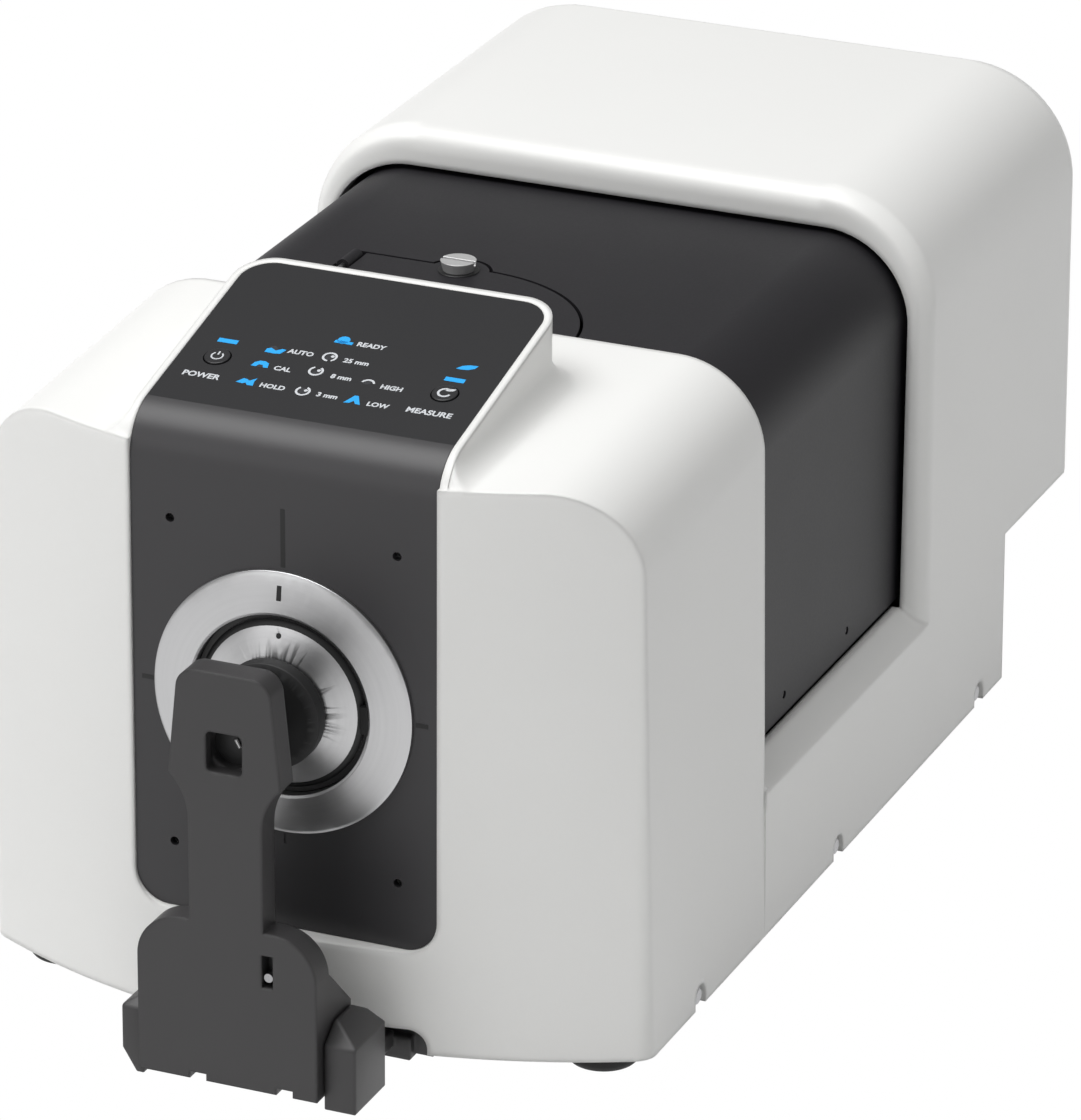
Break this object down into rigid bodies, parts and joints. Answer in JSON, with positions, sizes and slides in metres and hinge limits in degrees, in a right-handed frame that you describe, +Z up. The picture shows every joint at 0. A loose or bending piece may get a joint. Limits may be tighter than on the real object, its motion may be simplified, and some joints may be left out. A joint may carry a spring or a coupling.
{
  "type": "benchtop colorimeter",
  "caption": "Benchtop colorimeter with a specimen arm on its front port, a sloping key console and a lidded sample chamber between white towers.",
  "frame": {"origin": "middle of the bounding box's underside, on the desk that the feet stand on", "axes": "+X to the right of someone facing the port, +Y from the port towards the back, +Z up"},
  "size_m": [0.248, 0.498, 0.246],
  "materials": {
    "white_shell": "fine moulded grain",
    "dark_panel": "smooth satin",
    "black_panel": "smooth overlay",
    "hood_grey": "smooth satin",
    "dark_plastic": "fine moulded grain",
    "black_plastic": "plain",
    "silver": "turned and satin anodised",
    "steel": "plain",
    "anodised": "anodised",
    "window": "polished",
    "sphere_white": "diffuse coating",
    "board": "solder mask",
    "lamp": "clear",
    "pad_rubber": "smooth",
    "foot_rubber": "smooth"
  },
  "bodies": {
    "housing": {"base_plate": "dark_plastic", "front_cover": "white_shell", "rear_cover": "white_shell", "front_panel": "dark_panel", "console_panel": "black_panel", "status_lamps": "lamp", "mask_ring": "silver", "port_bush": "black_plastic", "arm_bracket": "dark_plastic", "arm_hinge_pin": "steel", "arm_spring": "steel", "chamber_hood": "hood_grey", "lid_hinge_pin": "steel", "chamber_front_wall": "dark_plastic", "chamber_rear_wall": "dark_plastic", "chamber_tray": "dark_plastic", "cell_holder": "anodised", "front_window": "window", "rear_lens": "window", "sphere_front": "sphere_white", "sphere_rear": "sphere_white", "sphere_stand": "dark_plastic", "flash_lamp": "window", "lamp_reflector": "anodised", "camera_module": "black_plastic", "receiver_tube": "black_plastic", "spectrometer": "anodised", "main_board": "board", "power_board": "board", "fan": "black_plastic", "connector_panel": "dark_plastic", "usb_socket": "steel", "dc_inlet": "black_plastic", "cover_screws": "steel", "hood_screws": "steel", "foot_front_left": "foot_rubber", "foot_front_right": "foot_rubber", "foot_rear_left": "foot_rubber", "foot_rear_right": "foot_rubber"},
    "arm": {"specimen_arm": "dark_plastic", "arm_stop_pin": "steel"},
    "pad": {"pad_plunger": "black_plastic", "specimen_pad": "pad_rubber"},
    "lid": {"access_lid": "hood_grey"},
    "knob": {"latch_knob": "silver", "latch_cam": "steel"},
    "mask": {"target_mask": "silver"},
    "power_key": {"power_button": "black_panel"},
    "measure_key": {"measure_button": "black_panel"}
  },
  "joints": [
    {"name": "arm_swing", "type": "hinge", "parent": "housing", "child": "arm", "pos_m": [0, -0.2325, 0.0245], "axis": [1, 0, 0], "range_deg": [0, 80], "stiffness_Nm_per_rad": 0.5, "springref_deg": -5.73},
    {"name": "pad_slide", "type": "slide", "parent": "arm", "child": "pad", "axis": [0, -1, 0], "range_m": [0, 0.004], "stiffness_N_per_m": 300, "springref_m": -0.001},
    {"name": "lid_hinge", "type": "hinge", "parent": "housing", "child": "lid", "pos_m": [-0.063, 0, 0.2113], "axis": [0, -1, 0], "range_deg": [0, 100]},
    {"name": "knob_turn", "type": "hinge", "parent": "lid", "child": "knob", "pos_m": [-0.023, -0.005, 0.211], "axis": [0, 0, -1], "range_deg": [0, 90]},
    {"name": "mask_twist", "type": "hinge", "parent": "housing", "child": "mask", "pos_m": [0, -0.2, 0.129], "axis": [0, 1, 0], "range_deg": [0, 30]},
    {"name": "power_press", "type": "slide", "parent": "housing", "child": "power_key", "axis": [0, 0.2334, -0.9724], "range_m": [0, 0.001], "stiffness_N_per_m": 500, "springref_m": -0.0003},
    {"name": "measure_press", "type": "slide", "parent": "housing", "child": "measure_key", "axis": [0, 0.2334, -0.9724], "range_m": [0, 0.001], "stiffness_N_per_m": 500, "springref_m": -0.0003}
  ]
}
